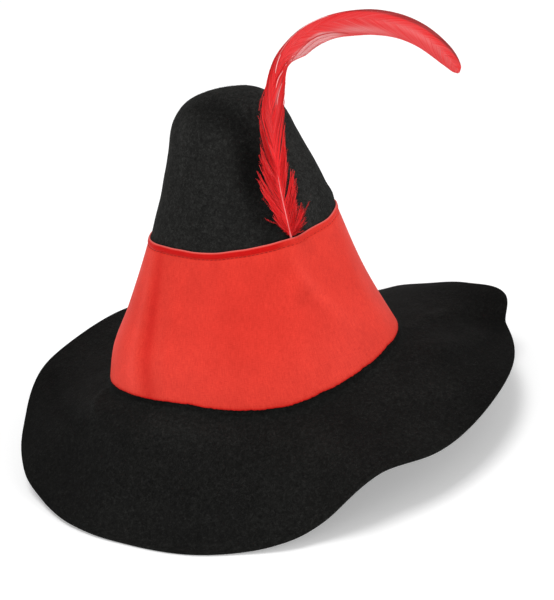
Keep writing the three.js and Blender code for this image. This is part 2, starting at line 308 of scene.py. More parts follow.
def bell(x):
    return np.exp(-np.square(x))


def turn_between(a, b):
    """Smallest signed difference between azimuths in degrees."""
    return (np.asarray(a, float) - b + 180) % 360 - 180


def near_turn(turn, row):
    """1 at the azimuth that a row of a table names, fading to 0 over its spread."""
    return bell(turn_between(turn, row.turn) / row.spread)


def table_at(rows, column, place, period=0):
    """A table's column at places, by a curve that never overshoots its rows. With a period it runs round."""
    at = np.array([row.at for row in rows], float)
    value = np.array([getattr(row, column) for row in rows], float)
    place = np.asarray(place, float)
    if period:
        place = (place - at[0]) % period + at[0]
        at = np.concatenate([at[-2:] - period, at, at[:2] + period])
        value = np.concatenate([value[-2:], value, value[:2]])
    else:
        place = np.clip(place, at[0], at[-1])
    step = np.diff(at)
    rise = np.diff(value) / step
    before, after, near, far = rise[:-1], rise[1:], step[:-1], step[1:]
    same = before * after > 0
    weight = (2 * far + near) / np.where(same, before, 1) + (far + 2 * near) / np.where(same, after, 1)
    slope = np.concatenate([rise[:1], np.where(same, 3 * (near + far) / weight, 0), rise[-1:]])
    i = np.clip(np.searchsorted(at, place) - 1, 0, len(step) - 1)
    s = (place - at[i]) / step[i]
    return (value[i] * (1 + 2 * s) * (1 - s) ** 2 + value[i + 1] * s * s * (3 - 2 * s)
            + step[i] * (slope[i] * s * (1 - s) ** 2 - slope[i + 1] * s * s * (1 - s)))


def unit(v):
    return v / np.maximum(np.linalg.norm(v, axis=-1, keepdims=True), 1e-12)


# The felt's outer face, in the hat's frame

def crown_to_hat(x, y, height, turn):
    lean = math.radians(CROWN.lean_back)
    share = np.clip(height / BAND.high, 0, 1)
    foot = table_at(CROWN_RISE, "foot", turn, 360)
    top = table_at(CROWN_RISE, "top", turn, 360) * (1 - smooth(BAND.high, CROWN.shoulder, height))
    rise = foot + (top - foot) * share
    z = CROWN.foot - y * math.sin(lean) + height * math.cos(lean) + rise
    return np.stack([x + 0 * z, y * math.cos(lean) + height * math.sin(lean) + 0 * z, z], -1)


def oval_reach(half_length, half_width, turn):
    angle = np.radians(turn)
    return 1 / np.hypot(np.cos(angle) / half_length, np.sin(angle) / half_width)


def dent_at(turn, height, reach):
    depth = 0
    for dent in CROWN_DENTS:
        around = np.radians(turn_between(turn, dent.turn)) * reach
        up = height - dent.height
        depth = depth + dent.depth * bell(around / dent.across) * bell(up / dent.along)
    return depth


def crown_point(turn, height, share=1.0):
    half, ratio, shift = (table_at(CROWN_SECTIONS, column, height) for column in ("half", "ratio", "shift"))
    angle = np.radians(turn)
    front = ((1 - np.cos(angle)) / 2) ** 2
    reach = oval_reach(half, half * ratio * (1 - CROWN.egg * front), turn) - dent_at(turn, height, half)
    return crown_to_hat(shift + reach * share * np.cos(angle), reach * share * np.sin(angle), height, turn)


def dome_point(turn, share):
    """The dome over the shoulder; its back stands a little higher than its front."""
    shoulder, rise = CROWN.shoulder, CROWN.dome_rise
    half, below = table_at(CROWN_SECTIONS, "half", [shoulder, shoulder - 10])
    slope = (below - half) / 10
    reaches = [half, half - slope * rise, CROWN.dome_flat, 0]
    heights = [shoulder, shoulder + rise, CROWN.top, CROWN.top]
    weights = [(1 - share) ** 3, 3 * share * (1 - share) ** 2, 3 * share * share * (1 - share), share ** 3]
    height = sum(w * h for w, h in zip(weights, heights))
    reach = sum(w * r for w, r in zip(weights, reaches))
    point = crown_point(turn, height, reach / table_at(CROWN_SECTIONS, "half", height))
    lift = DOME_LIFT.height * smooth(DOME_LIFT.start, DOME_LIFT.full, point[..., 0])
    return point + (lift * smooth(shoulder + 3, shoulder + 17, height))[..., None] * [0, 0, 1]


def brim_point(turn, share):
    root = crown_point(turn, -CROWN.fillet)
    angle = np.radians(turn)
    reach = table_at(RIM_SECTIONS, "reach", turn, 360) + oval_reach(BRIM.half_length, BRIM.half_width, turn)
    rim = table_at(RIM_SECTIONS, "height", turn, 360) + WALL
    z = root[..., 2] - BRIM.fall * share + (rim - root[..., 2] + BRIM.fall) * share * share
    for fold in BRIM_FOLDS:
        middle, half = (fold.start + fold.end) / 2, (fold.end - fold.start) / 2
        window = 1 - smooth(0, 1, np.abs(share - middle) / half)
        z = z + fold.height * near_turn(turn, fold) * window
    x = root[..., 0] + (BRIM.middle_x + reach * np.cos(angle) - root[..., 0]) * share
    y = root[..., 1] + (BRIM.middle_y + reach * np.sin(angle) - root[..., 1]) * share
    over = z - WALL
    return np.stack([x, y, WALL + (over + np.hypot(over, 2 * FLOOR_BEND)) / 2], -1)


def felt_point(turn, level):
    """The outer face by level: 0 to 1 the dome, 1 to 2 the wall, 2 to 3 the bend, 3 to 4 the brim."""
    turn, level = np.broadcast_arrays(np.asarray(turn, float), np.asarray(level, float))
    root = crown_point(turn, -CROWN.fillet)
    start = CROWN.fillet / np.linalg.norm(brim_point(turn, 1.0) - root, axis=-1)
    s = np.clip(level - 2, 0, 1)[..., None]
    foot, rim = crown_point(turn, 0 * level), brim_point(turn, start)
    bend = foot * (1 - s) ** 2 + root * 2 * s * (1 - s) + rim * s * s
    dome = dome_point(turn, 1 - np.clip(level, 0, 1))
    wall = crown_point(turn, CROWN.shoulder * (2 - np.clip(level, 1, 2)))
    brim = brim_point(turn, start + (1 - start) * np.clip(level - 3, 0, 1))
    level = level[..., None]
    return np.where(level <= 1, dome, np.where(level <= 2, wall, np.where(level <= 3, bend, brim)))


def felt_normal(turn, level):
    step = 0.01
    down = felt_point(turn, np.minimum(level + step, 4)) - felt_point(turn, np.maximum(level - step, 0.001))
    around = felt_point(turn + 0.5, level) - felt_point(turn - 0.5, level)
    return unit(np.cross(down, around))


def wall_level(height):
    return 2 - np.asarray(height, float) / CROWN.shoulder


def hat_to_frame():
    """The shift from the hat's frame to the part's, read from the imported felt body's box."""
    rim = felt_point(np.arange(CAD_COLUMNS) * 360 / CAD_COLUMNS, 4.0)
    low, high = np.array(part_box("felt_body"))
    return [*((low + high) / 2 - (rim.min(0) + rim.max(0)) / 2 * MM)[:2], low[2]]


SHIFT = hat_to_frame()


# Meshes

def add_object(name, data):
    obj = bpy.data.objects.new(name, data)
    bpy.context.scene.collection.objects.link(obj)
    return obj


def mesh_object(name, points, face_sets, shade_smooth=True):
    """An object from points in the hat's frame and sets of faces."""
    mesh = bpy.data.meshes.new(name)
    faces = [face for group in face_sets for face in group.tolist()]
    mesh.from_pydata((points * MM + SHIFT).tolist(), [], faces, shade_flat=not shade_smooth)
    mesh.validate()
    return add_object(name, mesh)


def point_attribute(obj, name, values):
    attribute = obj.data.attributes.new(name, "FLOAT", "POINT")
    attribute.data.foreach_set("value", np.asarray(values, np.float32).ravel())


def grid_faces(rows, columns, close_rows=False):
    """Quads of a grid whose rows are rings; with close_rows the last ring meets the first."""
    row = np.arange(rows if close_rows else rows - 1)[:, None] * columns
    column = np.arange(columns)[None, :]
    next_row, next_column = (row + columns) % (rows * columns), (column + 1) % columns
    corners = [row + column, next_row + column, next_row + next_column, row + next_column]
    return np.stack(corners, -1).reshape(-1, 4)


def tubes(centres, axis_a, axis_b, half_a, half_b, sides=4):
    """Closed tapered tubes, one for each row of centres (tubes, stations, 3), as points, quads and caps."""
    count, stations = centres.shape[:2]
    angle = np.arange(sides) * 2 * np.pi / sides
    ring = (centres[:, :, None, :]
            + axis_a[:, :, None, :] * (half_a[:, :, None] * np.cos(angle))[..., None]
            + axis_b[:, :, None, :] * (half_b[:, :, None] * np.sin(angle))[..., None])
    size = stations * sides
    offset = (np.arange(count) * size)[:, None, None]
    quads = (grid_faces(stations, sides)[None] + offset).reshape(-1, 4)
    caps = np.stack([np.arange(sides), np.arange(sides)[::-1] + size - sides])
    return ring.reshape(-1, 3), quads, (caps[None] + offset).reshape(-1, sides)


def joined(parts):
    """Points and sets of faces of one mesh from several (points, quads, caps)."""
    starts = np.cumsum([0] + [len(points) for points, _, _ in parts])
    faces = [face + start for (_, quads, caps), start in zip(parts, starts) for face in (quads, caps)]
    return np.concatenate([points for points, _, _ in parts]), faces


# Materials

def new_material(name, colour, roughness, **sockets):
    material = bpy.data.materials.new(name)
    material.use_nodes = True
    shader = material.node_tree.nodes["Principled BSDF"]
    shader.inputs["Base Color"].default_value = (*colour, 1)
    shader.inputs["Roughness"].default_value = roughness
    for socket, value in sockets.items():
        shader.inputs[socket.replace("_", " ")].default_value = value
    return material, material.node_tree, shader


def add_node(tree, kind, links=None, **settings):
    """A node with its settings, and its inputs set to values or linked to other nodes' outputs."""
    node = tree.nodes.new(kind)
    for key, value in settings.items():
        setattr(node, key, value)
    for key, value in (links or {}).items():
        if isinstance(value, bpy.types.NodeSocket):
            tree.links.new(value, node.inputs[key])
        else:
            node.inputs[key].default_value = value
    return node


def noise_of(tree, vector, scale, detail=4.0, roughness=0.6, distortion=0.0):
    links = dict(Vector=vector, Scale=scale, Detail=detail, Roughness=roughness, Distortion=distortion)
    return add_node(tree, "ShaderNodeTexNoise", links).outputs["Fac"]


def ramp(tree, value, stops):
    """A colour ramp through (place, colour) stops."""
    node = add_node(tree, "ShaderNodeValToRGB", {"Fac": value})
    elements = node.color_ramp.elements
    while len(elements) < len(stops):
        elements.new(0.5)
    for element, (place, colour) in zip(elements, stops):
        element.position = place
        element.color = (*colour, 1)
    return node.outputs["Color"]


def maths(tree, operation, a, b=0.0):
    return add_node(tree, "ShaderNodeMath", {0: a, 1: b}, operation=operation).outputs[0]


def sum_of(tree, a, share_a, b, share_b):
    """Two values added in their shares."""
    return maths(tree, "ADD", maths(tree, "MULTIPLY", a, share_a), maths(tree, "MULTIPLY", b, share_b))


def point_value(tree, name):
    """A value that the mesh's points carry."""
    return add_node(tree, "ShaderNodeAttribute", attribute_name=name).outputs["Fac"]


def stretched(tree, vector, scale):
    return add_node(tree, "ShaderNodeMapping", {"Vector": vector, "Scale": scale}).outputs[0]


def mix_colour(tree, fac, a, b, blend="MIX"):
    links = {0: fac}
    for key, value in {6: a, 7: b}.items():
        links[key] = value if isinstance(value, bpy.types.NodeSocket) else (*value, 1)
    return add_node(tree, "ShaderNodeMix", links, data_type="RGBA", blend_type=blend).outputs[2]


def bump(tree, shader, height, strength, distance, below=None):
    links = {"Height": height, "Strength": strength, "Distance": distance}
    if below is not None:
        links["Normal"] = below
    node = add_node(tree, "ShaderNodeBump", links)
    tree.links.new(node.outputs["Normal"], shader.inputs["Normal"])
    return node.outputs["Normal"]


def felt_material():
    """Pressed wool: fine fibres, tufts and broad patches, with painted light and shade from the mesh."""
    material, tree, shader = new_material(
        "black_felt", (0.013, 0.013, 0.0125), 1.0,
        Sheen_Weight=0.02, Sheen_Roughness=0.5, Specular_IOR_Level=0.05, Sheen_Tint=(0.6, 0.6, 0.58, 1),
    )
    place = add_node(tree, "ShaderNodeTexCoord").outputs["Object"]
    fibres = noise_of(tree, place, 1400, detail=7, roughness=0.72, distortion=1.6)
    tufts = noise_of(tree, place, 420, detail=5, roughness=0.65, distortion=0.8)
    patches = noise_of(tree, place, 24, detail=3)
    colour = ramp(tree, sum_of(tree, fibres, 0.6, tufts, 0.4), [
        (0.37, (0.0030, 0.0030, 0.0029)), (0.52, (0.0101, 0.0102, 0.0097)), (0.67, (0.030, 0.030, 0.029)),
    ])
    shade = ramp(tree, patches, [(0.3, (0.82, 0.82, 0.82)), (0.7, (1.12, 1.12, 1.1))])
    colour = mix_colour(tree, 1.0, colour, shade, "MULTIPLY")
    # Painted light and shade from the mesh multiplies the felt's colour
    colour = mix_colour(tree, 1.0, colour, point_value(tree, "painted_shading"), "MULTIPLY")
    tree.links.new(colour, shader.inputs["Base Color"])
    soft = bump(tree, shader, tufts, 0.5, 0.0006)
    bump(tree, shader, fibres, 0.6, 0.00025, soft)
    return material


def satin_material():
    """Satin whose weave follows the cloth by point values: around the crown and up it, in mm."""
    red = np.array([0.69, 0.038, 0.024])
    material, tree, shader = new_material(
        "red_satin", red, 0.6,
        Specular_IOR_Level=0.08, Sheen_Weight=0.03, Sheen_Roughness=0.4, Sheen_Tint=(1.0, 0.45, 0.35, 1),
    )
    around, up = point_value(tree, "around"), point_value(tree, "up")
    place = add_node(tree, "ShaderNodeCombineXYZ", {"X": around, "Y": up}).outputs[0]
    wefts = maths(tree, "SINE", maths(tree, "MULTIPLY", up, 2 * math.pi / WEAVE.weft))
    warps = maths(tree, "SINE", maths(tree, "MULTIPLY", around, 2 * math.pi / WEAVE.warp))
    weave = sum_of(tree, wefts, 0.5, warps, 0.35)
    slubs = noise_of(tree, stretched(tree, place, (0.25, 2.2, 1)), 1.2, detail=5, roughness=0.7)
    streaks = noise_of(tree, stretched(tree, place, (2.2, 0.2, 1)), 0.9, detail=4, roughness=0.7)
    cloudy = noise_of(tree, place, 0.045, detail=3)
    tone = sum_of(tree, slubs, 0.5, streaks, 0.5)
    colour = ramp(tree, tone, [(0.35, red * [0.84, 0.62, 0.62]), (0.5, red), (0.66, red * [1.1, 1.5, 1.5])])
    broad = ramp(tree, cloudy, [(0.3, (0.93, 0.9, 0.9)), (0.7, (1.05, 1.08, 1.08))])
    colour = mix_colour(tree, 1.0, colour, broad, "MULTIPLY")
    # Painted light and shade from the mesh: a deeper red in creases, in the hem and along the low edge,
    # lighter low down
    painted_light_to_shade = [(0, (1.16, 1.5, 1.6)), (0.25, (1, 1, 1)), (1, (0.78, 0.12, 0.15))]
    shade = ramp(tree, maths(tree, "ADD", point_value(tree, "painted_satin_shade"), painted_light_to_shade[1][0]), painted_light_to_shade)
    colour = mix_colour(tree, 1.0, colour, shade, "MULTIPLY")
    # Painted highlight along the rolled top edge: a lighter, pinker red
    hem_edge_highlight = maths(tree, "MULTIPLY", point_value(tree, "fray"), 0.4)
    tree.links.new(mix_colour(tree, hem_edge_highlight, colour, (0.9, 0.3, 0.28)), shader.inputs["Base Color"])
    tree.links.new(maths(tree, "ADD", maths(tree, "MULTIPLY", tone, 0.25), 0.45), shader.inputs["Roughness"])
    soft = bump(tree, shader, tone, 0.25, 0.0003)
    bump(tree, shader, weave, 0.22, 0.00008, soft)
    return material


def feather_material(name, base, pale, roughness, through):
    """Dyed barbs: streaks and painted shade by strand, paleness and painted highlights by pale, some light
    through.
    """
    material, tree, shader = new_material(name, base, roughness, Specular_IOR_Level=0.3)
    base = np.array(base)
    bright = np.minimum(1, base * 1.12 + 0.01)
    colour = ramp(tree, point_value(tree, "strand"), [(0.0, base * 0.4), (0.45, base), (1.0, bright)])
    colour = mix_colour(tree, point_value(tree, "pale"), colour, pale)
    tree.links.new(colour, shader.inputs["Base Color"])
    glow = add_node(tree, "ShaderNodeBsdfTranslucent", {"Color": colour})
    blend = add_node(tree, "ShaderNodeMixShader", {0: through, 1: shader.outputs[0], 2: glow.outputs[0]})
    tree.links.new(blend.outputs[0], tree.nodes["Material Output"].inputs["Surface"])
    return material


def shaft_material():
    pink = (0.8, 0.2, 0.2)
    material, tree, shader = new_material("feather_shaft_horn", pink, 0.35, Specular_IOR_Level=0.5)
    specks = noise_of(tree, add_node(tree, "ShaderNodeTexCoord").outputs["Object"], 700, detail=3)
    colour = mix_colour(tree, point_value(tree, "pale"), (0.7, 0.015, 0.02), (0.95, 0.36, 0.36))
    mottled = mix_colour(tree, maths(tree, "MULTIPLY", specks, 0.35), colour, (0.75, 0.05, 0.06))
    tree.links.new(mottled, shader.inputs["Base Color"])
    return material


# Felt body

def lumps(points, size, depth):
    """A low swelling for each point from smooth noise, in mm."""
    values = [noise.noise(Vector(p / size)) for p in points.reshape(-1, 3)]
    return np.reshape(values, points.shape[:-1]) * depth


# Low swellings all over the felt: how far apart they are, and how deep
SWELLINGS = [(26, 0.55), (9, 0.18)]

# Soft folds in the felt: a line of (turn, level) on its outer face, its width and depth; ridges are negative
FELT_FOLDS = table(
    "line width depth",
    ([(236, 0.39), (255, 0.47), (269, 0.59), (284, 0.78), (288, 1), (288.5, 1.15)], 10.5, 2.8),
    ([(287, 1.1), (285, 1.28), (289, 1.42)], 10, 1.4),
    ([(212, 0.7), (212, 1), (211, 1.1)], 5, -0.8),
    ([(300, 0.45), (300, 0.8), (302, 1.1)], 7, -0.7),
    ([(186, 3.03), (193, 3.17), (201, 3.28)], 3, -1.2),
    ([(199, 3.4), (182, 3.55), (164, 3.8)], 6, 1),
    ([(284, 3.2), (285.5, 3.4), (289.5, 3.8)], 5, -0.8),
    ([(1, 3.04), (8, 3.2), (10, 3.4)], 5, -1),
    ([(345, 3.6), (354, 3.8), (5, 3.95)], 7, 0.8),
    ([(224, 3.12), (240, 3.17), (256, 3.14)], 10, -0.9),
    ([(318, 3.3), (326, 3.6)], 9, -0.6),
    ([(60, 3.2), (52, 3.7)], 8, 0.9),
    ([(120, 3.3), (135, 3.7)], 9, -0.9),
    ([(95, 1.2), (100, 1.6)], 9, 0.8),
    ([(322, 1.1), (320, 1.4)], 13, -1.8),
)


def fold_depth(points):
    """How deep the soft folds press each point of the felt in, in mm."""
    depth = np.zeros(points.shape[:-1])
    for fold in FELT_FOLDS:
        turns, levels = np.array(fold.line, float).T
        knots = felt_point(turns, levels)
        near = np.full(points.shape[:-1], np.inf)
        for a, b in zip(knots[:-1], knots[1:]):
            share = np.clip(np.sum((points - a) * (b - a), -1) / np.sum((b - a) ** 2), 0, 1)
            near = np.minimum(near, np.linalg.norm(points - a - share[..., None] * (b - a), axis=-1))
        depth = depth + fold.depth * bell(near / fold.width)
    return depth


def felt_painted_shading(points):
    """Painted light and shade: lighter on the crown, darker in folds, at the brim's ends and at the foot."""
    turn = np.degrees(np.arctan2(points[:, 1], points[:, 0]))
    foot = np.linalg.norm(points - crown_point(turn, 0 * turn - CROWN.fillet / 2), axis=-1)
    tone = 0.85 + 0.6 * smooth(75, 130, points[:, 2]) + 0.15 * smooth(200, 235, points[:, 2])
    tone = tone - 0.36 * smooth(100, 170, np.abs(points[:, 0]))
    return tone * np.exp(-0.26 * fold_depth(points)) * (1 - 0.5 * bell(foot / 1.2))


# How the rim rounds over from its upper face to its lower: share of the way down, and how far out in mm
RIM_ROUNDING = [(0.12, 0.22), (0.5, 0.4), (0.88, 0.22)]

# Rings of the felt's faces: where the first one lies, then where each stretch ends and how many it has
FELT_COLUMNS = 384
OUTER_RINGS = [(0.06, 0), (1, 21), (2, 55), (3, 8), (3.9, 43), (4, 8)]
INNER_RINGS = [(0.1, 0), (1, 11), (2, 25), (3, 5), (4, 33)]

# Loose fibre ends: how many on the crown and on the brim, the least and most length and lift that they have,
# how far they curl aside, and their half-widths from root to tip
FUZZ = Named(
    crown=3000, brim=6000, length=(0.5, 1.5), lift=(0.05, 0.45), curl=0.25, half=[0.028, 0.024, 0.006],
)


def smooth_round(values, spread):
    """Smooths a grid of values along its rings, the second axis, over about spread columns to each side."""
    steps = np.arange(-round(3 * spread), round(3 * spread) + 1)
    weights = bell(steps / (spread * math.sqrt(2)))
    return sum(w * np.roll(values, s, axis=1) for w, s in zip(weights / weights.sum(), steps))


def may_bend(level, points):
    """Where the felt may leave its plain shape, 0 to 1: not under the band or where it lies on the floor."""
    above_band = smooth(BAND.high + 3, BAND.high + 12, (2 - level) * CROWN.shoulder)
    return np.clip(above_band + (level > 2.6), 0, 1) * smooth(0.02, 2, points[..., 2] - WALL)


def rim_smoothed(points, level):
    """The same grid with its heights smoothed along the rim, where the brim meets the floor."""
    change = (smooth_round(points[..., 2], 4) - points[..., 2]) * smooth(3.3, 3.9, level)
    return points + change[..., None] * [0, 0, 1]


def felt_outside(level, turn):
    points = felt_point(turn, level)
    swell = sum(lumps(points, *swelling) for swelling in SWELLINGS) - fold_depth(points)
    points = points + felt_normal(turn, level) * (swell * may_bend(level, points))[..., None]
    return rim_smoothed(points, level)


def felt_inside(level, turn):
    points = felt_point(turn, level)
    inward = felt_normal(turn, level) * (WALL + fold_depth(points) * may_bend(level, points))[..., None]
    inward = inward + (smooth_round(inward, 9) - inward) * smooth(3.5, 3.95, level)[..., None]
    points = rim_smoothed(points - inward, level)
    return np.stack([points[..., 0], points[..., 1], np.maximum(points[..., 2], 0)], -1)


def ring_levels(rings):
    """The level of each ring."""
    levels = np.array([rings[0][0]])
    for end, count in rings[1:]:
        levels = np.append(levels, np.linspace(levels[-1], end, count + 1)[1:])
    return levels


def make_felt():
    """The felt as one closed shell: rings down its outer face, round the rim and back up its inner face."""
    turns = np.arange(FELT_COLUMNS) * 360 / FELT_COLUMNS
    outer = felt_outside(*np.meshgrid(ring_levels(OUTER_RINGS), turns, indexing="ij"))
    inner = felt_inside(*np.meshgrid(ring_levels(INNER_RINGS), turns, indexing="ij"))
    edge_top, edge_low = outer[-1], inner[-1]
    outward = unit((edge_top - edge_low) * [1, 1, 0] + unit(edge_top * [1, 1, 0]) * 0.5)
    rounding = [edge_top + (edge_low - edge_top) * down + outward * out for down, out in RIM_ROUNDING]
    rows = np.concatenate([outer, rounding, inner[::-1]])
    top = felt_point(0.0, 0.0)
    points = np.concatenate([rows.reshape(-1, 3), [top, top - [0, 0, WALL]]])
    count = len(points) - 2
    ring = np.arange(FELT_COLUMNS)
    following = (ring + 1) % FELT_COLUMNS
    last = count - FELT_COLUMNS
    caps = np.concatenate([
        np.stack([0 * ring + count, ring, following], -1),
        np.stack([0 * ring + count + 1, last + following, last + ring], -1),
    ])
    felt = mesh_object("felt_hat", points, [grid_faces(len(rows), FELT_COLUMNS), caps])
    # Painted light and shade on the felt, carried by its points
    point_attribute(felt, "painted_shading", felt_painted_shading(points))
    felt.data.materials.append(felt_material())
    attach(felt, "root")
    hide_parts("felt_body")


def make_fuzz():
    """Loose fibre ends standing a little off the felt's outer face and along the rim."""
    crown, brim = FUZZ.crown, FUZZ.brim
    level = np.concatenate([rng.uniform(0.1, 1.38, crown), 3 + np.sqrt(rng.uniform(0.01, 1, brim))])
    count = len(level)
    turn = rng.uniform(0, 360, count)
    root = felt_point(turn, level)
    normal = felt_normal(turn, level)
    lie = unit(np.cross(normal, rng.normal(size=root.shape)))
    length = rng.uniform(*FUZZ.length, count)[:, None]
    lift = rng.uniform(*FUZZ.lift, count)[:, None]
    side = unit(np.cross(normal, lie))
    curl = rng.normal(0, FUZZ.curl, count)[:, None]
    stations = []
    for s in (0, 0.5, 1):
        up = lift * length * s * (1.3 - 0.5 * s) - 0.03
        stations.append(root + lie * length * s + normal * up + side * length * curl * s * s)
    half = np.repeat([FUZZ.half], count, 0)
    axes = (np.repeat(axis[:, None], 3, 1) for axis in (side, normal))
    points, quads, caps = tubes(np.stack(stations, 1), *axes, half, half, sides=3)
    fuzz = mesh_object("felt_fuzz", points, [quads, caps], shade_smooth=False)
    material, _, _ = new_material("felt_fuzz_fibre", (0.03, 0.03, 0.029), 0.8, Specular_IOR_Level=0.2)
    fuzz.data.materials.append(material)
    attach(fuzz, "root")


# Satin band

# The weave's pitches, the cloth's thickness, and the radius by which the weave goes round
WEAVE = Named(weft=0.42, warp=0.36)
SATIN = 0.55
MEAN_RADIUS = 76

# The cloth's face at its low edge, its sewing and its rolled upper edge: the height over that line, and how
# far it stands out in thicknesses of the cloth
LOW_EDGE = [(0, 0.1), (0, 0.8), (0.35, 1)]
SEWN_GROOVE = [(-0.8, 0.9), (-0.35, 0.45), (0, 0.2), (0.35, 0.6), (0.8, 1.5), (1.5, 1.95)]
ROLLED_EDGE = [(-2.2, 2), (-1.3, 1.95), (-0.7, 1.7), (-0.25, 1.2), (0, 0.6), (-0.1, 0)]

# Uneven lines of the band's edges: a seed, how many waves they have, and how deep they are
LOW_WANDER = [(3.1, 9, 0.6), (8.2, 50, 0.45)]
TOP_WANDER = (5.5, 4, 0.6)

STITCHES = Named(count=116, half_span=0.36, radius=0.24, lift=0.42, dip=0.3, slant=0.08)

BAND_CREASES = table(
    "turn spread height low high slant",
    (203.5, 4, 0.8, -20, 110, 0.115),
    (219, 4, 0.5, -10, 100, 0.08),
    (319, 4.5, 0.9, 5, 105, 0.42),
    (340, 6, 0.8, 0, 80, 0.05),
    (250, 12, 0.5, 20, 90, 0),
    (60, 8, 0.8, 0, 90, 0.1),
    (120, 10, 0.7, 10, 100, -0.1),
)

# Painted shade, a deeper red on the satin, placed as creases are listed; negative depths are painted light
BAND_PAINTED_SHADES = table(
    "turn spread depth low high slant",
    (209.3, 3.4, 0.42, -40, 130, 0.115),
    (268, 30, 0.06, -60, 160, 0),
    (200, 3.5, -0.12, -40, 90, 0.1),
    (316, 3.5, -0.15, 20, 105, 0.42),
    (344, 4, 0.1, 50, 100, 0.1),
    (359, 6, 0.12, 0, 70, 0),
)


def crease_at(turn, height, crease):
    """How much a slanting crease shows at a place on the band, 0 to 1."""
    middle = crease.turn + crease.slant * (BAND.high / 2 - height)
    along = np.clip((height - crease.low) / (crease.high - crease.low), 0, 1)
    return bell(turn_between(turn, middle) / crease.spread) * np.sin(np.pi * along)


def band_painted_shade(turn, height):
    """Painted shade on the satin by its creases, and painted light towards its low edge."""
    shades = sum(row.depth * crease_at(turn, height, row) for row in BAND_PAINTED_SHADES)
    return shades - 0.12 * smooth(60, 10, height)


def band_point(turn, height, lift):
    """A place on the band, lift mm over the air gap that it keeps to the felt."""
    middle = np.sin(np.pi * np.clip(height / BAND.high, 0, 1))
    raised = GAP + lift + sum(row.height * near_turn(turn, row) for row in BAND_PUCKERS) * middle
    raised = raised + sum(row.height * crease_at(turn, height, row) for row in BAND_CREASES)
    over_end = smooth(*QUILL.bulge_rise, height - BAND.high + QUILL.tucked)
    raised = raised + QUILL.bulge * near_turn(turn, QUILL) * over_end
    level = wall_level(height)
    return felt_point(turn, level) + felt_normal(turn, level) * raised[..., None]


def edge_wander(turn, seed, waves, depth):
    """A smooth uneven line round the hat, in mm."""
    angle = np.radians(turn)
    places = np.stack([np.cos(angle) * waves, np.sin(angle) * waves, np.full_like(angle, seed)], -1)
    return np.array([noise.noise(Vector(p)) for p in places]) * depth


def make_band():
    """The satin as one closed sleeve: up its face, over the rolled edge and down its back."""
    columns, high, sewn = 640, BAND.high, BAND.high - BAND.hem
    turns = np.arange(columns) * 360 / columns
    profile = LOW_EDGE + [(up, 1) for up in np.linspace(1.5, sewn - 1.6, 56)]
    profile += [(sewn + up, out) for up, out in SEWN_GROOVE] + [(high + up, out) for up, out in ROLLED_EDGE]
    profile += [(up, 0) for up in np.linspace(high - 4, 1, 30)]
    nominal, out = np.array(profile)[::-1].T[:, :, None] + np.zeros(columns)
    low_edge = BAND.low + 0.35
    for wander in LOW_WANDER:
        low_edge = low_edge + edge_wander(turns, *wander)
    heights = nominal + low_edge * (1 - nominal / high) + edge_wander(turns, *TOP_WANDER) * nominal / high
    rows = band_point(turns, heights, out * SATIN)
    band = mesh_object("satin_band", rows.reshape(-1, 3), [grid_faces(len(rows), columns, close_rows=True)])
    point_attribute(band, "around", np.radians(turns + 0 * heights) * MEAN_RADIUS)
    point_attribute(band, "up", heights)
    # Painted shade in the hem's strip, deeper left of the feather, and along the low edge
    hem_painted_shade = smooth(sewn + 0.2, sewn + 0.9, nominal) * smooth(high - 0.6, high - 1.3, nominal)
    hem_painted_shade = hem_painted_shade * (0.75 - 0.5 * smooth(288, 304, turns))
    point_attribute(band, "painted_satin_shade", band_painted_shade(turns, heights) + hem_painted_shade + 0.7 * smooth(1.8, 0.6, nominal))
    # Painted highlight along the rolled top edge
    point_attribute(band, "fray", smooth(high - 0.9, high - 0.3, nominal))
    band.data.materials.append(satin_material())
    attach(band, "root")
    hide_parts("band")
    return band


def make_stitches():
    """The row of sewing that holds the hem: short threads lying in its groove, and the gaps between them."""
    count, radius, dip = STITCHES.count, STITCHES.radius, STITCHES.dip
    turns = (np.arange(count) + 0.5) * 360 / count
    height = BAND.high - BAND.hem + edge_wander(turns, *TOP_WANDER)
    along = np.linspace(-1, 1, 7)
    turn = turns[:, None] + along * STITCHES.half_span * 360 / count + rng.normal(0, 0.04, (count, 1))
    up = height[:, None] + along * (rng.normal(0, 0.05, (count, 1)) + STITCHES.slant)
    lift = STITCHES.lift - dip * np.abs(along) ** 3 - dip * smooth(292, 306, turn)
    centres = band_point(turn, up, lift)
    out = felt_normal(turn, wall_level(up))
    across = unit(np.cross(out, unit(np.gradient(centres, axis=1))))
    half = np.repeat((radius * np.sqrt(1 - 0.85 * along ** 4))[None], count, 0)
    points, quads, caps = tubes(centres, across, out, half, half, sides=8)
    stitches = mesh_object("hem_stitches", points, [quads, caps])
    material, _, _ = new_material("red_thread", (0.42, 0.01, 0.01), 0.6, Specular_IOR_Level=0.2)
    stitches.data.materials.append(material)
    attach(stitches, "root")
    return stitches


# Feather

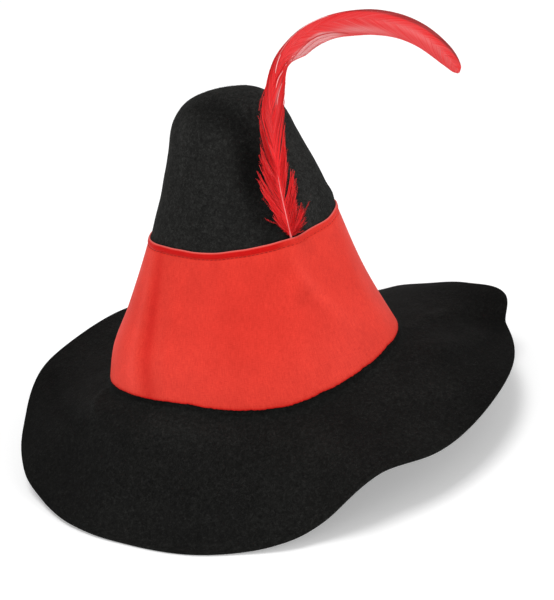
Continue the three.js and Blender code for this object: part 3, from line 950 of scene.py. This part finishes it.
class Shaft:
    """The feather's middle line by length from the band, on the same curve as the part's source."""

    def __init__(self):
        level = wall_level(BAND.high - QUILL.tucked * np.array([1, 0.5, 0]))
        seat = felt_point(QUILL.turn, level) + felt_normal(QUILL.turn, level) * (QUILL.clear + QUILL.radius)
        knots = np.vstack([seat, [[row.x, row.y, row.z] for row in FEATHER_SHAFT]])
        radii = [QUILL.radius] * 3 + [row.radius for row in FEATHER_SHAFT]
        points, share = self.curve(knots)
        length = np.append(0, np.cumsum(np.linalg.norm(np.diff(points, axis=0), axis=1)))
        self.at = length - np.interp(2, share, length)
        self.end = self.at[-1]
        self.radii = np.interp(share, np.arange(len(knots)), radii)
        self.line = np.hstack([points, unit(np.gradient(points, axis=0))])

    @staticmethod
    def curve(knots, steps=60):
        """Centripetal Catmull-Rom curve through the knots, and the knot share of each point."""
        ends = np.vstack([2 * knots[0] - knots[1], knots, 2 * knots[-1] - knots[-2]])
        points, shares = [], []
        for i in range(len(knots) - 1):
            p0, p1, p2, p3 = ends[i:i + 4]
            d0, d1, d2 = np.sqrt(np.linalg.norm(np.diff(ends[i:i + 4], axis=0), axis=1))
            m1 = ((p1 - p0) / d0 - (p2 - p0) / (d0 + d1) + (p2 - p1) / d1) * d1
            m2 = ((p2 - p1) / d1 - (p3 - p1) / (d1 + d2) + (p3 - p2) / d2) * d1
            last = i == len(knots) - 2
            t = np.linspace(0, 1, steps + last, endpoint=last)[:, None]
            bends = (3 * (p2 - p1) - 2 * m1 - m2) * t ** 2 + (2 * (p1 - p2) + m1 + m2) * t ** 3
            points.append(p1 + m1 * t + bends)
            shares.append(i + t[:, 0])
        return np.concatenate(points), np.concatenate(shares)

    def frame(self, at):
        """Middle, and directions ahead, to the vane's right and out of its face, at lengths along it."""
        values = np.stack([np.interp(at, self.at, column) for column in self.line.T], -1)
        ahead = unit(values[..., 3:])
        middle = values[..., :3] + ahead * np.maximum(at - self.end, 0)[..., None]
        side = unit(np.cross(ahead, [0.0, -1.0, 0.0]))
        return middle, ahead, side, np.cross(side, ahead)


def side_name(side):
    return "left" if side < 0 else "right"


# Stretches of the feather by length from the band: where each begins, and where it is full
FOOT = (45, 15)
LOOSE = (110, 60)
COVERED_SHAFT = (38, 58)
CALM = (75, 125)
ARCH = (105, 130)


def vane_locks(side, end):
    """One side's locks: those listed at the foot, then others whose tips follow the vane's edge."""
    locks = [lock for lock in FOOT_LOCKS if lock.side == side]
    start = locks[-1].end - 1
    while start < end - 0.8:
        size = table_at(BARBS, "lock", start) * rng.uniform(0.7, 1.4)
        stop = min(start + size, end - 0.3)
        gather = table_at(BARBS, "gather", start)
        tip = table_at(BARBS, "tip_" + side_name(side), (start + stop) / 2) + 4 * gather
        reach = table_at(VANE_EDGE, side_name(side), tip) * (1 + gather * rng.uniform(-0.12, 0.1))
        locks.append(Named(side=side, start=start, end=stop, tip=tip, reach=reach))
        start = stop
    return locks


def barb_table(side, end):
    """One side's barbs as six rows: where each leaves the shaft, where its tip lies along and off it, its
    place in its lock from -1 to 1, how much it gathers with the others, and the lock's number."""
    rows = []
    for number, lock in enumerate(vane_locks(side, end)):
        pitch = table_at(BARBS, "pitch", lock.start)
        count = max(4, round((lock.end - lock.start) / pitch))
        place = (np.arange(count) + 0.5) / count * 2 - 1
        root = (lock.start + lock.end) / 2 + (lock.end - lock.start) / 2 * place
        own_tip = table_at(BARBS, "tip_" + side_name(side), root)
        own_reach = table_at(VANE_EDGE, side_name(side), own_tip)
        gather = table_at(BARBS, "gather", root)
        fray = table_at(BARBS, "fray", root)
        tuft = (np.arange(count) / TUFT).astype(int)
        ahead, out = rng.normal(0, 1, (2, tuft[-1] + 1))
        tip = own_tip + (lock.tip - own_tip) * gather
        tip = tip + (2.4 * ahead[tuft] + rng.normal(0, 0.5, count)) * fray
        reach = own_reach + (lock.reach - own_reach) * gather
        reach = reach + (0.6 * out[tuft] + rng.normal(0, 0.15, count)) * fray
        rows.append([root, np.minimum(tip, end), reach, place, gather, np.full(count, number)])
    return np.concatenate(rows, axis=1)


def barb_lines(shaft, side, barbs, stations=11):
    """Centre lines of barbs, the direction out of the vane's face, and places along and off the shaft."""
    root, tip, reach, _, gather, lock = barbs[..., None]
    locks = lock[:, 0].astype(int)
    count = len(root)
    u = np.linspace(0, 1, stations)[None]
    gone = u * (1 - gather * rng.uniform(0, 0.4, (count, 1)))
    at = root + (tip - root) * gone
    for split in SPLITS:
        if split.side == side:
            past = root - split.root
            at = at + split.part * np.sign(past) * np.exp(-np.abs(past) / 3) * smooth(0.3, 0.75, gone)
    held = smooth(0.1, 0.6, gather)
    edge = table_at(VANE_EDGE, side_name(side), at) * (1 - held) + reach * held
    off = edge * (1 - (1 - gone) ** table_at(BARBS, "bow", root))
    off = off + gather * u * rng.normal(0, 0.3, (count, 1)) * np.sin(u * rng.uniform(3, 7, (count, 1)))
    hidden, calm = smooth(*COVERED_SHAFT, root), smooth(*CALM, root)
    off = off - 0.8 * hidden * (1 - u) ** 2
    splay = np.abs(rng.normal(0, 1, locks.max() + 1))[locks][:, None]
    stray = rng.normal(0, 0.12, (count, 1)) * (1 - 0.6 * calm)
    depth = 0.25 + 0.35 * hidden + (0.9 * splay * gather + stray) * u
    depth = depth + 0.6 * smooth(*FOOT, root) * np.abs(rng.normal(0, 1, (count, 1))) * u
    depth = depth - (0.4 + 1.4 * calm) * (off / 10) ** 2 * np.where(side > 0, 1, calm)
    middle, _, sideways, face = shaft.frame(at)
    return middle + sideways * (side * off)[..., None] + face * depth[..., None], face, at, off * side


def barb_axes(centres, face):
    """Directions ahead along barbs, across them in the vane, and out of its face."""
    ahead = unit(np.gradient(centres, axis=1))
    out = unit(face - ahead * np.sum(face * ahead, -1, keepdims=True))
    return ahead, np.cross(out, ahead), out


def barb_tones(barbs, at, off):
    """How bright and how pale each barb is along its run, with painted shade, light and highlights."""
    root, _, _, place, gather, lock = barbs[..., None]
    locks = lock[:, 0].astype(int)
    loose, arch = smooth(*LOOSE, root), smooth(*ARCH, at)
    strand = 0.55 + rng.normal(0, 0.05 + 0.07 * loose + 0.1 * bell((root - 95) / 25))
    strand = strand + rng.normal(0, 0.1, locks.max() + 1)[locks][:, None] * loose
    # Painted shade at each lock's edges, and darker round 78 mm along
    strand = strand - 0.22 * gather * np.abs(place) ** 3 - 0.2 * bell((at - 78) / 22)
    # Painted light over the foot; darker by the bend and towards the tip
    strand = strand + 0.15 * smooth(*FOOT, root) - 0.14 * bell((at - 112) / 12) - 0.15 * smooth(205, 240, at)
    strand = strand - 0.5 * arch * smooth(-3.2, -4.6, off)
    # Painted sheen: paler over the arch, more so on its inner side
    pale = 0.11 * arch * (0.7 + 0.5 * smooth(0, 8, off)) + rng.normal(0, 0.05, root.shape)
    past_flap = off - table_at(FLAP, "start", at)
    flap = smooth(-0.4, 0.6, past_flap) * smooth(115, 119, at) * smooth(172, 150, at)
    past_rim = off - table_at(VANE_EDGE, "right", at)
    pale = pale + flap * rng.uniform(0.45, 1, root.shape) * (1 - 0.7 * smooth(-1.1, -0.4, past_rim))
    # Painted highlights at the glints
    for glint in PAINTED_GLINTS:
        near = bell((at - glint.at) / glint.along) * bell((off - glint.off) / glint.across)
        pale = pale + glint.strength * near * rng.uniform(0.6, 1.2, root.shape)
    return np.clip(strand, 0, 1), np.clip(pale, 0, 1)


def lit_barb(shaft, barb):
    """One of the single barbs over the vane, as a tube along a smoothed line."""
    knots = np.array(barb.line, float).T
    share = np.linspace(0, 1, 24)
    at, off = (np.interp(share * (knots.shape[1] - 1), np.arange(knots.shape[1]), row) for row in knots)
    at, off = (np.convolve(np.pad(row, 3, "edge"), np.ones(7) / 7, "valid") for row in (at, off))
    middle, _, sideways, face = shaft.frame(at)
    centres = middle + sideways * off[:, None] + face * (1.2 - 1.5 * (off / 10) ** 2)[:, None]
    half = barb.half * np.sin(np.pi * (0.04 + 0.92 * share)) ** 0.6
    return tubes(centres[None], sideways[None], face[None], half[None], half[None] * 0.7)


def make_vane(shaft):
    """Barbs from the band to the tip: closed strips that run ahead from the shaft and gather in locks."""
    parts, strands, pales = [], [], []
    for side in (-1, 1):
        barbs = barb_table(side, shaft.end)
        centres, face, at, off = barb_lines(shaft, side, barbs)
        ahead, across, out = barb_axes(centres, face)
        step = np.gradient(centres, axis=0)
        apart = np.linalg.norm(step - ahead * np.sum(step * ahead, -1, keepdims=True), axis=-1)
        share = np.linspace(0, 1, centres.shape[1])[None]
        root = barbs[0][:, None]
        dense, body = smooth(55, 110, root), bell((root - 62) / 24)
        half = np.clip(apart * (0.6 + 0.15 * dense), 0.08 + 0.08 * body, 0.18 + 0.1 * dense + 0.05 * body)
        half = half * (1 - 0.5 * share ** 3) + 0.01
        parts.append(tubes(centres, across, out, half, np.repeat(0.06 * (1 - 0.5 * share), len(half), 0)))
        for values, tones in zip((strands, pales), barb_tones(barbs, at, off)):
            values.append(np.repeat(np.broadcast_to(tones, half.shape).ravel(), 4))
    for barb in LIT_BARBS:
        parts.append(lit_barb(shaft, barb))
        strands.append(np.full(len(parts[-1][0]), 0.3))
        pales.append(np.full(len(parts[-1][0]), barb.pale))
    vane = mesh_object("feather_vane", *joined(parts))
    point_attribute(vane, "pale", np.concatenate(pales))
    point_attribute(vane, "strand", np.concatenate(strands))
    red, pink = (0.88, 0.009, 0.012), (0.98, 0.5, 0.5)
    vane.data.materials.append(feather_material("dyed_barbs", red, pink, roughness=0.35, through=0.12))
    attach(vane, "root")


def foot_barbs(side):
    """Barbs that carry barbules, as in barb_table: some for each lock at the foot, and the loose ones."""
    rows = []
    for number, lock in enumerate(FOOT_LOCKS + WISPS):
        if lock.side == side:
            width = lock.end - lock.start if lock in FOOT_LOCKS else 1.5
            count, fray = (7, 1.0) if lock in FOOT_LOCKS else (1, 0.35)
            place = np.linspace(-0.95, 0.95, count)
            root = lock.start + width * (place + 1) / 2
            tip = lock.tip + rng.normal(0, 1.6, count) * fray
            reach = lock.reach + rng.normal(0, 1.0, count) * fray
            rows.append([root, tip, reach, place, np.ones(count), np.full(count, number)])
    return np.concatenate(rows, axis=1)


# Barbules: how many on each barb, their angles off it, their lengths, and their half-widths from root to tip
BARBULES = Named(count=56, angle=(12, 38), length=(1.0, 2.8), half=[0.055, 0.045, 0.012])


def barbules(centres, face):
    """Fine short fibres that leave barbs on both sides, pointing ahead."""
    ahead, across, out = barb_axes(centres, face)
    share = rng.uniform(0.15, 1, (len(centres), BARBULES.count))
    place = share * (centres.shape[1] - 1)
    i = np.minimum(place.astype(int), centres.shape[1] - 2)
    part = (place - i)[..., None]
    rows = np.arange(len(centres))[:, None]
    start = centres[rows, i] * (1 - part) + centres[rows, i + 1] * part
    sign = np.where(rng.uniform(size=share.shape) < 0.5, -1, 1)[..., None]
    angle = np.radians(rng.uniform(*BARBULES.angle, share.shape))[..., None]
    direction = ahead[rows, i] * np.cos(angle) + across[rows, i] * sign * np.sin(angle)
    direction = unit(direction + out[rows, i] * rng.normal(0.1, 0.25, share.shape)[..., None])
    reach = (rng.uniform(*BARBULES.length, share.shape) * (1.1 - 0.5 * share))[..., None]
    start, direction, reach = (v.reshape(-1, v.shape[-1]) for v in (start, direction, reach))
    normal = unit(np.cross(direction, rng.normal(size=direction.shape)))
    sag = normal * reach * rng.normal(0, 0.1, (len(start), 1))
    hair = np.stack([start, start + direction * reach * 0.5 + sag, start + direction * reach], 1)
    thin = np.repeat([BARBULES.half], len(hair), 0)
    axes = (np.repeat(axis[:, None], 3, 1) for axis in (normal, np.cross(direction, normal)))
    return tubes(hair, *axes, thin, thin, sides=3)


def make_down(shaft):
    """Loose barbs with barbules, in and round the locks at the foot."""
    parts, tones = [], []
    for side in (-1, 1):
        centres, face, _, _ = barb_lines(shaft, side, foot_barbs(side))
        _, across, out = barb_axes(centres, face)
        half = np.repeat([0.12 * (1 - 0.65 * np.linspace(0, 1, centres.shape[1]))], len(centres), 0)
        for part in (tubes(centres, across, out, half, half * 0.8), barbules(centres, face)):
            parts.append(part)
            fibres = len(part[2]) // 2
            tones.append(rng.uniform(0.2, 0.75, fibres).repeat(len(part[0]) // fibres))
    down = mesh_object("feather_down", *joined(parts))
    tone = np.concatenate(tones)
    point_attribute(down, "strand", tone)
    point_attribute(down, "pale", 0 * tone)
    red, pink = (0.85, 0.01, 0.013), (0.9, 0.4, 0.4)
    down.data.materials.append(feather_material("dyed_down", red, pink, roughness=0.5, through=0.2))
    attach(down, "root")


def make_shaft(shaft):
    """The bare shaft: pink over the foot, then red and behind the vane."""
    tucked, sides = QUILL.tucked, 14
    at = np.concatenate([np.linspace(-tucked, 0, 14), np.linspace(0, shaft.end - 3, 120)[1:]])
    middle, _, side, face = shaft.frame(at)
    middle = middle - face * (0.7 * smooth(42, 62, at))[:, None]
    radius = np.interp(at, shaft.at, shaft.radii) * smooth(-tucked - 2, -tucked + 2.5, at)
    radius = radius * (1 - 0.6 * smooth(-4, 8, at)) * (1 - 0.5 * smooth(shaft.end - 20, shaft.end, at))
    middle, side, face, radius = (values[None] for values in (middle, side, face, radius))
    points, quads, caps = tubes(middle, side, face, radius * 0.92, radius, sides)
    quill = mesh_object("feather_shaft", points, [quads, caps])
    point_attribute(quill, "pale", np.repeat(0.15 + 0.7 * bell((at - 20) / 22), sides))
    quill.data.materials.append(shaft_material())
    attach(quill, "root")
    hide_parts("feather")


# Floor, light and camera

def make_stage():
    half, sunk = 6.0, 0.0004
    mesh = bpy.data.meshes.new("floor")
    corners = [(-half, -half, 0), (half, -half, 0), (half, half, 0), (-half, half, 0)]
    mesh.from_pydata(corners, [], [(0, 1, 2, 3)])
    floor = add_object("floor", mesh)
    material, _, _ = new_material(
        "pale_floor", (0.93, 0.93, 0.93), 0.7, Specular_IOR_Level=0.1,
        Emission_Color=(1, 1, 1, 1), Emission_Strength=0.22,
    )
    mesh.materials.append(material)
    floor.location.z = -sunk


# Soft lights, in metres, all aimed at the hat's middle
LIT_PLACE = (0, 0, 0.12)
LIGHTS = table(
    "name place size watts",
    ("overhead", (-0.5, -0.4, 6.0), (2.2, 2.2), 146),
    ("front_left", (-2.15, -1.5, 0.9), (2.0, 1.2), 19.5),
    ("front_right", (2.35, -1.45, 0.9), (2.0, 1.2), 34),
)


def make_lights():
    for row in LIGHTS:
        light = bpy.data.lights.new(row.name, "AREA")
        light.shape = "RECTANGLE"
        light.size, light.size_y = row.size
        light.energy = row.watts
        lamp = add_object(row.name, light)
        lamp.location = row.place
        lamp.rotation_euler = (Vector(LIT_PLACE) - Vector(row.place)).to_track_quat("-Z", "Y").to_euler()
    world = bpy.data.worlds.new("studio")
    bpy.context.scene.world = world
    world.use_nodes = True
    background = world.node_tree.nodes["Background"]
    background.inputs["Color"].default_value = (1, 1, 1, 1)
    background.inputs["Strength"].default_value = 0.44


# The photo's camera: its angles in degrees, its distance in mm, and where the picture shows the crown's foot
PHOTO = Named(
    elevation=28, roll=9.5, distance=1100, focal_px=1573, sensor=36,
    width_px=554, height_px=600, foot_px=(255, 362),
)


def make_camera():
    """The photo's view, rolled so that the hat's up leans to the left of the picture."""
    tilt = Matrix.Rotation(math.radians(90 - PHOTO.elevation), 4, "X")
    world = tilt @ Matrix.Rotation(math.radians(-PHOTO.roll), 4, "Z")
    right, down = (PHOTO.foot_px - np.array([PHOTO.width_px, PHOTO.height_px]) / 2) / PHOTO.focal_px
    place = Vector((0, 0, CROWN.foot)) + world @ Vector((-right, down, 1)) * PHOTO.distance
    world.translation = place * MM + Vector(SHIFT)
    data = bpy.data.cameras.new("camera")
    data.lens = PHOTO.focal_px * PHOTO.sensor / PHOTO.height_px
    data.sensor_width = PHOTO.sensor
    data.clip_end = 100
    camera = add_object("camera", data)
    camera.matrix_world = world
    bpy.context.scene.camera = camera


make_camera()
make_stage()
make_lights()
bpy.context.scene.view_settings.view_transform = "Standard"

make_felt()
make_fuzz()
band = make_band()
stitches = make_stitches()
shaft = Shaft()
make_shaft(shaft)
make_vane(shaft)
make_down(shaft)
